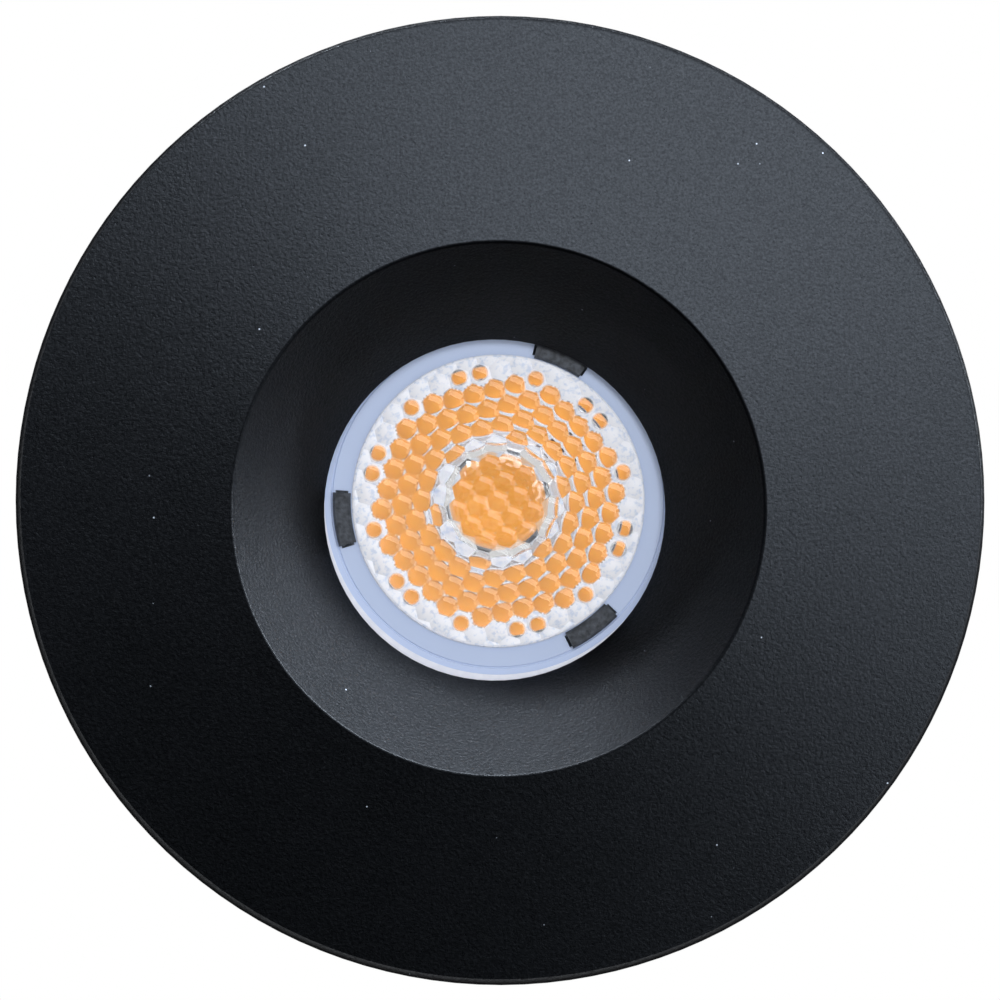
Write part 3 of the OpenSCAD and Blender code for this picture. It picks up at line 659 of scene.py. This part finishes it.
def plated(name, colours, roughness, grain):
    """Sheet or wire: fine lines along grain, and a coat that varies in patches."""
    steel = Finish(name, Metallic=1.0)
    coat = steel.between(steel.noise(2.2 * MM, 3), 0, 1)
    steel.set(Base_Color=steel.shades(coat, *colours))
    lines = steel.noise(0.2 * MM, 3, steel.stretched(grain))
    steel.set(Roughness=steel.between(lines, *roughness))
    steel.set(Normal=steel.relief(lines, 0.006 * MM))
    return steel


ZINC = ((0.62, 0.63, 0.66), (0.72, 0.73, 0.75))
BRIGHT_ZINC = ((0.64, 0.65, 0.67), (0.76, 0.77, 0.78))
TURNED_STEEL = ((0.66, 0.67, 0.69), (0.74, 0.75, 0.76))
BLACK_OXIDE = ((0.16, 0.16, 0.18), (0.22, 0.22, 0.24))
DRAWN_WIRE = ((0.50, 0.51, 0.53), (0.60, 0.61, 0.63))
BRONZE = ((0.74, 0.52, 0.26), (0.82, 0.62, 0.36))

bracket_steel = plated("bracket_steel", ZINC, (0.24, 0.4), (1, 0.08, 1))
dress(bracket_steel, "clip_bracket_a", "clip_bracket_b", "clip_arm_a", "clip_arm_b")
pin_steel = plated("pin_steel", TURNED_STEEL, (0.14, 0.26), (0.1, 1, 0.1))
dress(pin_steel, "clip_pin_a", "clip_pin_b")
ring_steel = plated("ring_steel", BLACK_OXIDE, (0.3, 0.42), (1, 0.2, 1))
dress(ring_steel, "pin_retaining_rings")
spring_steel = plated("spring_steel", DRAWN_WIRE, (0.16, 0.3), (0.5, 1, 0.5))
dress(spring_steel, "clip_spring_a", "clip_spring_b")
screw_steel = plated("screw_steel", BRIGHT_ZINC, (0.18, 0.32), (1, 1, 0.2))
dress(screw_steel, "led_holder_screws", "heat_sink_screws", "bracket_screws")
bronze = plated("contact_bronze", BRONZE, (0.2, 0.34), (1, 0.2, 1))
dress(bronze, "led_contacts")
print("finishes of the metal pieces ready")

# %% [markdown]
# ## Rubber, foam and graphite
# The gasket is closed foam, coarse and quite matt. The grommet and the clips' pads are moulded
# rubber with a finer grain, and the thermal pad is a graphite sheet with a faint shine. One
# function makes all four: two near shades in patches, and a grain that stands up as relief.

# %% Finishes of the soft pieces
def soft(name, colours, roughness, grain, depth):
    made = Finish(name, Roughness=roughness)
    patches = made.between(made.noise(4 * MM, 3), 0, 1)
    made.set(Base_Color=made.shades(patches, *colours))
    made.set(Normal=made.relief(made.noise(grain, 3), depth))
    return made


FOAM = ((0.035, 0.035, 0.037), (0.05, 0.05, 0.053))
HARD_RUBBER = ((0.018, 0.018, 0.02), (0.028, 0.028, 0.03))
SOFT_RUBBER = ((0.022, 0.022, 0.024), (0.036, 0.036, 0.039))
GRAPHITE = ((0.07, 0.075, 0.085), (0.11, 0.115, 0.125))

dress(soft("gasket_foam", FOAM, 0.9, 0.35 * MM, 0.08 * MM), "ceiling_gasket")
dress(soft("grommet_rubber", HARD_RUBBER, 0.55, 0.2 * MM, 0.02 * MM), "cable_grommet")
dress(soft("pad_rubber", SOFT_RUBBER, 0.6, 0.22 * MM, 0.03 * MM), "clip_pad_a", "clip_pad_b")
dress(soft("graphite_pad", GRAPHITE, 0.5, 0.1 * MM, 0.01 * MM), "thermal_pad")
print("finishes of the soft pieces ready")

# %% [markdown]
# ## The torsion springs
# The CAD wire has six sides. Here it is a round tube along the same centre line: up out of the
# bracket, five curls and a third of one more round the pin, and out along the arm.

# %% Springs as round wire
PIN = Vector((28, 0, 16.5))
COIL_R = 2.5
COIL_HALF = 3.7
COIL_STEPS = 48
WIRE_R = 0.4
WIRE_SIDES = 16
FOOT_DROP = 4.1
LEG_REACH = 10.4
LEG_W = 2.03
REST_ANGLE = math.radians(34)
CURLS = 5
FOOT_STEPS = 6
LEG_STEPS = 10


def spring_path():
    """The wire's centre line, seen from the pin: foot, curls and leg."""
    sweep = math.pi / 2 + REST_ANGLE + 2 * math.pi * CURLS
    count = math.ceil(sweep / (2 * math.pi) * COIL_STEPS)
    drops = [FOOT_DROP * (1 - k / FOOT_STEPS) for k in range(FOOT_STEPS)]
    path = [Vector((-COIL_R, -COIL_HALF, -drop)) for drop in drops]
    for k in range(count + 1):
        turn = math.pi - sweep * k / count
        along = COIL_HALF * (2 * k / count - 1)
        path.append(Vector((COIL_R * math.cos(turn), along, COIL_R * math.sin(turn))))
    for k in range(1, LEG_STEPS + 1):
        u = LEG_REACH * k / LEG_STEPS
        w = COIL_R + (LEG_W - COIL_R) * k / LEG_STEPS
        out = u * math.cos(REST_ANGLE) + w * math.sin(REST_ANGLE)
        up = w * math.cos(REST_ANGLE) - u * math.sin(REST_ANGLE)
        path.append(Vector((out, COIL_HALF, up)))
    return path


def tube(path, radius, sides):
    """A round tube along a path, closed at both ends."""
    mesh = bmesh.new()
    turns = [2 * math.pi * s / sides for s in range(sides)]
    last = None
    for k, point in enumerate(path):
        heading = (path[min(k + 1, len(path) - 1)] - path[max(k - 1, 0)]).normalized()
        out = heading.cross(Vector((0, 1, 0))).normalized()
        up = out.cross(heading)
        places = [point + radius * (out * math.cos(t) + up * math.sin(t)) for t in turns]
        verts = [mesh.verts.new(place) for place in places]
        if last:
            join_rings(mesh, [last, verts])
        else:
            mesh.faces.new(verts)
        last = verts
    mesh.faces.new(last)
    return mesh


WIRE_CREASE = math.radians(40)
for letter, way in (("a", 1), ("b", -1)):
    wire = tube(spring_path(), WIRE_R, WIRE_SIDES)
    for vertex in wire.verts:
        x, y, z = vertex.co + PIN
        vertex.co = Vector((way * x, way * y, z))
    spring = piece("spring_wire_" + letter, wire, spring_steel, None, WIRE_CREASE)
    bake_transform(spring)
    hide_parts("clip_spring_" + letter)
print("springs of", len(spring.data.vertices), "points each")

# %% [markdown]
# ## The stage
# A pale floor far below the fitting, and a white surrounding. Seen directly, or in a mirror or
# through glass, the surrounding is white. As a source of light it is weaker, so that the lamps make
# shading. Between the fitting and the floor is a black card that only mirrored rays can see: the
# bezel mirrors it instead of the white, and stays black. Both sheets are 40 metres wide, so that no
# view shows where they end.

# %% The white surrounding
AMBIENT = 0.75
SEEN = 1.0
world = bpy.data.worlds.new("studio")
world.use_nodes = True
bpy.context.scene.world = world
studio = world.node_tree
background = studio.nodes["Background"]
background.inputs["Color"].default_value = (1, 1, 1, 1)


def either(first, second):
    return add(studio, "ShaderNodeMath", {0: first, 1: second}, operation="MAXIMUM").outputs[0]


ray_is = add(studio, "ShaderNodeLightPath").outputs
seen = either(ray_is["Is Camera Ray"], ray_is["Is Glossy Ray"])
seen = either(seen, ray_is["Is Transmission Ray"])
strength = add(studio, "ShaderNodeMapRange", {"Value": seen, "To Min": AMBIENT, "To Max": SEEN})
studio.links.new(strength.outputs["Result"], background.inputs["Strength"])
print("surrounding lights at", AMBIENT, "and is seen at", SEEN)

# %% Floor and card
STAGE_W = 40
FLOOR_Z = -1.3
CARD_Z = -0.62


def sheet(name, width, z, finish):
    data = bpy.data.meshes.new(name)
    half = width / 2
    corners = [(-half, -half, z), (half, -half, z), (half, half, z), (-half, half, z)]
    data.from_pydata(corners, [], [(0, 1, 2, 3)])
    data.materials.append(finish.material)
    made = bpy.data.objects.new(name, data)
    bpy.context.scene.collection.objects.link(made)
    return made


paper = Finish("pale_floor", Roughness=0.9)
tone = paper.between(paper.noise(0.4, 2), 0, 1)
paper.set(Base_Color=paper.shades(tone, (0.80, 0.80, 0.80), (0.83, 0.83, 0.83)))
sheet("floor", STAGE_W, FLOOR_Z, paper)
velvet = Finish("black_card", Roughness=1.0, Specular_IOR_Level=0.0)
velvet.set(Base_Color=(0.004, 0.004, 0.004, 1))
card = sheet("card", STAGE_W, CARD_Z, velvet)
card.visible_camera = False
card.visible_diffuse = False
card.visible_shadow = False
card.visible_transmission = False
print("stage ready")

# %% [markdown]
# ## The lamps
# A soft lamp above lights the side that faces the ceiling. The photograph's light comes from the
# upper right. A window high over the lens and one at the right light the lens and the flange. A
# long strip, low on the same side, grazes the recess: its far wall is bright and its near wall
# black. The strip is strong, so it lights only the bezel.

# %% Lamps
def lamp(name, azimuth, off_axis, reach, size, power, colour):
    """A soft lamp of power watts, aimed at the lens from reach metres away.

    Azimuth turns anticlockwise from the picture's right, and off_axis is 0 below the fitting.
    """
    data = bpy.data.lights.new(name, "AREA")
    data.shape = "RECTANGLE"
    data.size, data.size_y = size
    data.energy = power
    data.color = colour
    around = math.radians(azimuth)
    away = math.radians(off_axis)
    side = math.sin(away)
    place = Vector((side * math.cos(around), -side * math.sin(around), -math.cos(away))) * reach
    made = bpy.data.objects.new(name, data)
    made.location = place
    made.rotation_euler = (-place).to_track_quat("-Z", "Y").to_euler()
    made.visible_camera = False
    bpy.context.scene.collection.objects.link(made)
    return made


DAYLIGHT = (0.92, 0.96, 1.0)
WHITE = (1, 1, 1)
lamp("high_window", 67, 26, 0.5, (0.55, 0.2), 1.15, DAYLIGHT)
lamp("right_window", -11, 54, 0.5, (0.2, 0.5), 0.6, DAYLIGHT)
low_strip = lamp("low_strip", 62, 74.5, 0.5, (1.5, 0.05), 62, DAYLIGHT)
lamp("overhead", 130, 155, 0.9, (0.9, 0.9), 5.0, WHITE)
lit_by_strip = bpy.data.collections.new("lit_by_strip")
lit_by_strip.objects.link(nodes["bezel"])
low_strip.light_linking.receiver_collection = lit_by_strip
print("lamps ready")
